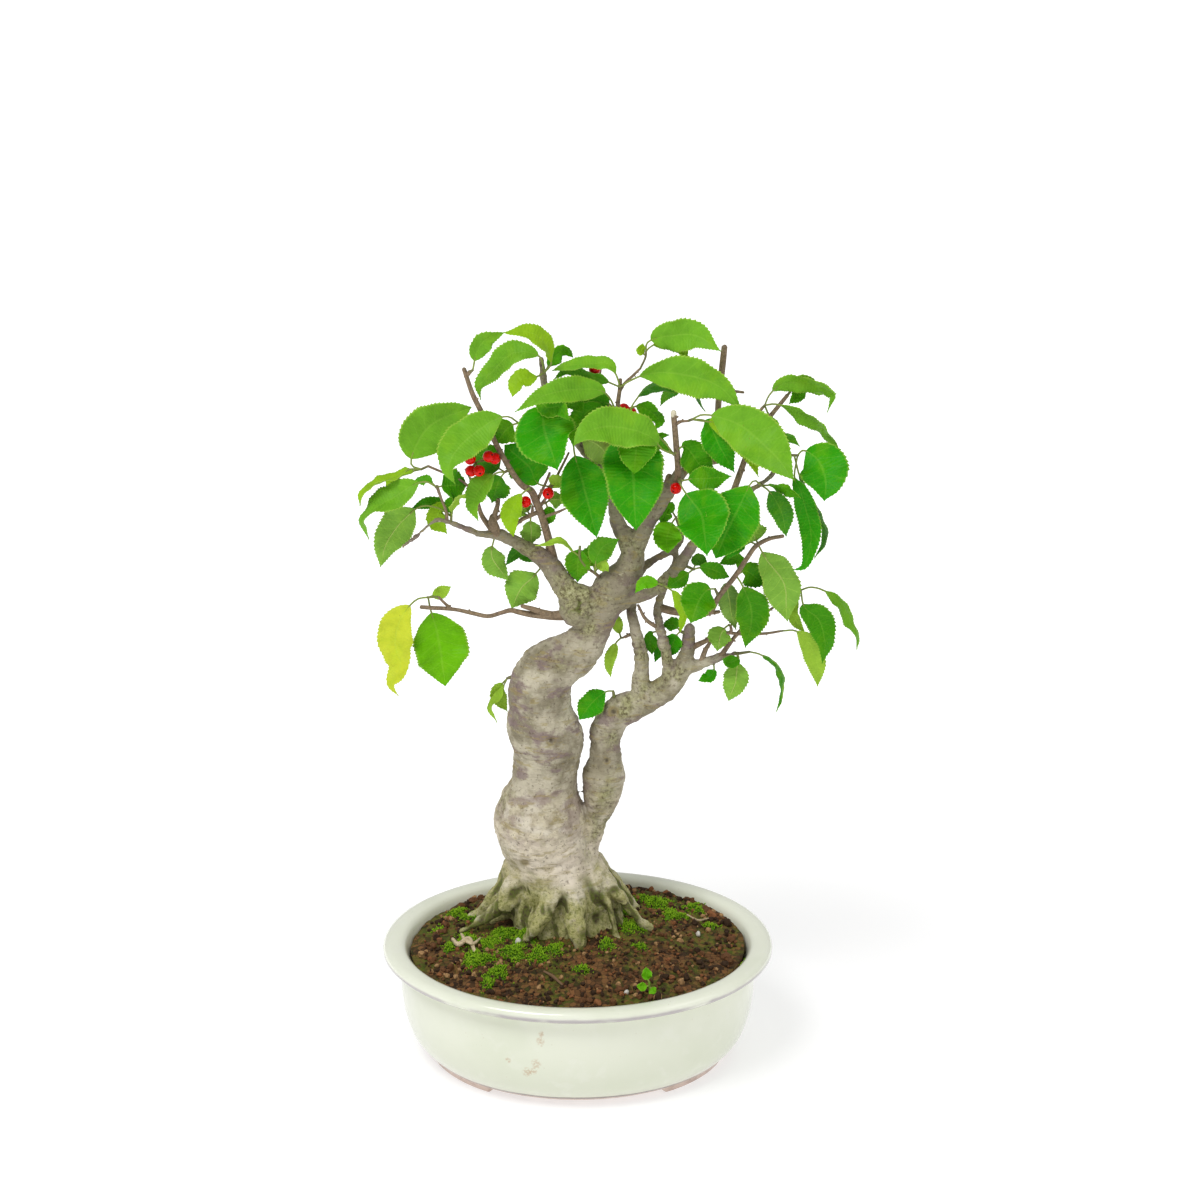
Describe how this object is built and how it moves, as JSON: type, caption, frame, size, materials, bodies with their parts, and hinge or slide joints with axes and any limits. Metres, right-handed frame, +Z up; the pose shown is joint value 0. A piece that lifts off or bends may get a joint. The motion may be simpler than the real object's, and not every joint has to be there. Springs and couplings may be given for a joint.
{
  "type": "potted bonsai tree",
  "caption": "Old-trunked winterberry bonsai with a second stem, toothed green leaves and a few red berries, planted in an oval pale glazed pot.",
  "frame": {"origin": "centre of the bounding box at the pot's feet, on the surface that the pot stands on", "axes": "+Z up along the trunk, +X to the viewer's right, -Y towards the viewer of the front"},
  "size_m": [0.2244, 0.15, 0.3536],
  "materials": {
    "glaze": "pale cream-green gloss glaze, bare clay at the feet",
    "net": "black plastic net",
    "soil": "moist granular red-brown soil with patches of moss",
    "seedling_leaf": "soft fresh leaves",
    "bark": "grey-brown bark, blotched and faintly ringed",
    "leaf": "semi-matt fresh green leaves with pale veins",
    "berry": "glossy red skin"
  },
  "bodies": {
    "root": {"pot": "glaze", "drain_net_left": "net", "drain_net_right": "net", "soil": "soil", "seedling": "seedling_leaf", "tree": "bark", "spray_top_left": "leaf", "spray_crown_left": "leaf", "spray_crown_middle": "leaf", "spray_crown_front": "leaf", "spray_big_hanging": "leaf", "spray_middle": "leaf", "spray_arch": "leaf", "spray_long_right": "leaf", "spray_crown_right": "leaf", "spray_crown_low": "leaf", "leaf_crown_back": "leaf", "spray_right_tip": "leaf", "spray_right_top": "leaf", "spray_right_middle": "leaf", "spray_round_right": "leaf", "spray_round_left": "leaf", "spray_inner_right": "leaf", "spray_inner_low": "leaf", "spray_inner_front": "leaf", "leaf_dark_inner": "leaf", "spray_low_right": "leaf", "leaf_low_pale": "leaf", "spray_pale_right": "leaf", "spray_lowest_right": "leaf", "leaf_low_small": "leaf", "spray_far_right": "leaf", "leaf_far_right_low": "leaf", "spray_far_left_top": "leaf", "spray_left_top": "leaf", "spray_left_middle": "leaf", "spray_inner_left": "leaf", "spray_inner_pale": "leaf", "spray_inner_under": "leaf", "leaf_bright_left": "leaf", "leaf_under_left": "leaf", "spray_under_middle": "leaf", "spray_left_low": "leaf", "spray_left_yellow": "leaf", "spray_low_left": "leaf", "spray_trunk_left": "leaf", "spray_heart": "leaf", "spray_heart_right": "leaf", "spray_between_stems": "leaf", "leaf_by_knot": "leaf", "spray_behind_stem": "leaf", "spray_by_stub": "leaf", "berries_left": "berry", "berry_upper_left": "berry", "berry_inner_left": "berry", "berry_crown_stub": "berry", "berry_middle": "berry", "berries_crown": "berry", "berry_fork": "berry", "berry_inner": "berry"}
  },
  "joints": []
}
